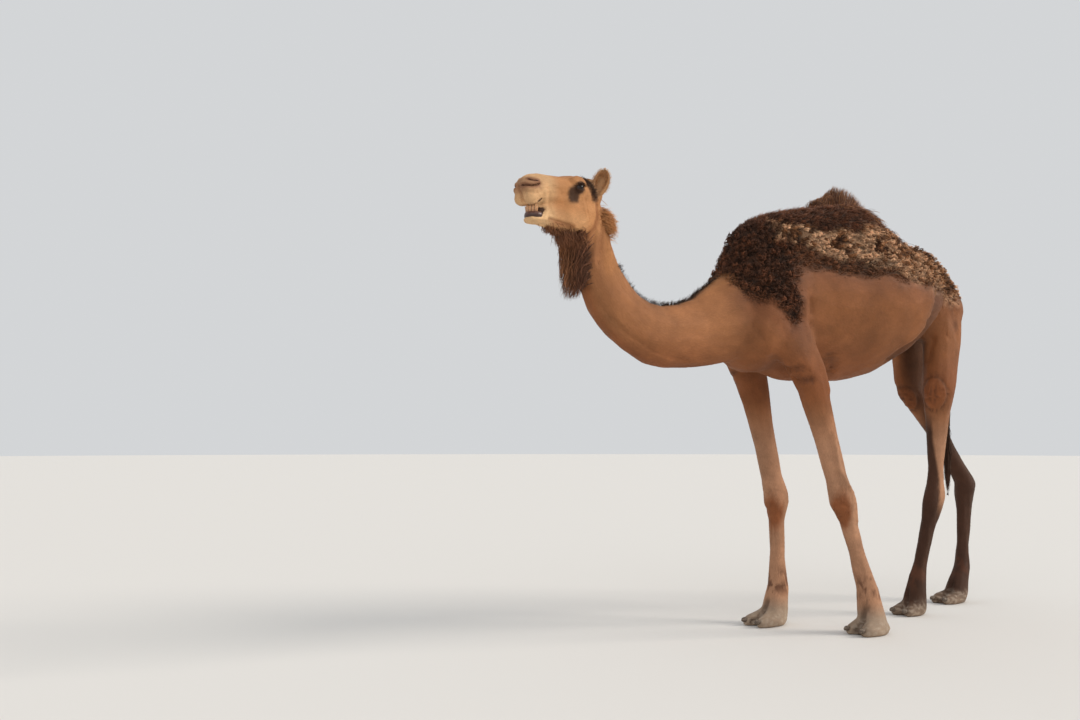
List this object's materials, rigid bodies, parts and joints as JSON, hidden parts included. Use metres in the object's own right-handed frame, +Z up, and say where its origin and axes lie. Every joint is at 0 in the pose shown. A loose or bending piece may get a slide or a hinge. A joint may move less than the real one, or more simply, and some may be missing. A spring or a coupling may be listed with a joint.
{
  "type": "dromedary camel",
  "caption": "Life-size still model of a slim young dromedary camel standing in mid-stride, head raised, with a woolly hump, throat beard and tail tassel.",
  "frame": {"origin": "on the floor, under the middle of the animal's bounding box", "axes": "+Z up, +X to the animal's rear, so the head points to -X; +Y to the animal's right, so its left side faces -Y"},
  "size_m": [3.1184, 0.6924, 2.0789],
  "materials": {
    "short_coat": "short flat hair, tan brown",
    "wool": "curly wool, dark brown to pale tan",
    "beard_hair": "long coarse hair, dark brown",
    "horn": "dull horn",
    "teeth": "worn ivory and wet gum",
    "eye": "wet and glossy, near black"
  },
  "bodies": {
    "root": {"head": "short_coat", "jaw": "short_coat", "teeth_lower": "teeth", "ear_left": "short_coat", "ear_right": "short_coat", "eye_left": "eye", "eye_right": "eye", "beard": "beard_hair", "neck_upper": "short_coat", "neck_middle": "short_coat", "neck_lower": "short_coat", "chest": "short_coat", "barrel": "short_coat", "rump": "short_coat", "hump": "wool", "hump_tuft": "wool", "tail": "short_coat", "tail_tassel": "beard_hair", "foreleg_left_forearm": "short_coat", "foreleg_left_cannon": "short_coat", "foreleg_left_foot": "short_coat", "foreleg_left_nail_inner": "horn", "foreleg_left_nail_outer": "horn", "foreleg_right_forearm": "short_coat", "foreleg_right_cannon": "short_coat", "foreleg_right_foot": "short_coat", "foreleg_right_nail_inner": "horn", "foreleg_right_nail_outer": "horn", "hindleg_left_gaskin": "short_coat", "hindleg_left_cannon": "short_coat", "hindleg_left_foot": "short_coat", "hindleg_left_nail_inner": "horn", "hindleg_left_nail_outer": "horn", "hindleg_right_gaskin": "short_coat", "hindleg_right_cannon": "short_coat", "hindleg_right_foot": "short_coat", "hindleg_right_nail_inner": "horn", "hindleg_right_nail_outer": "horn"}
  },
  "joints": []
}
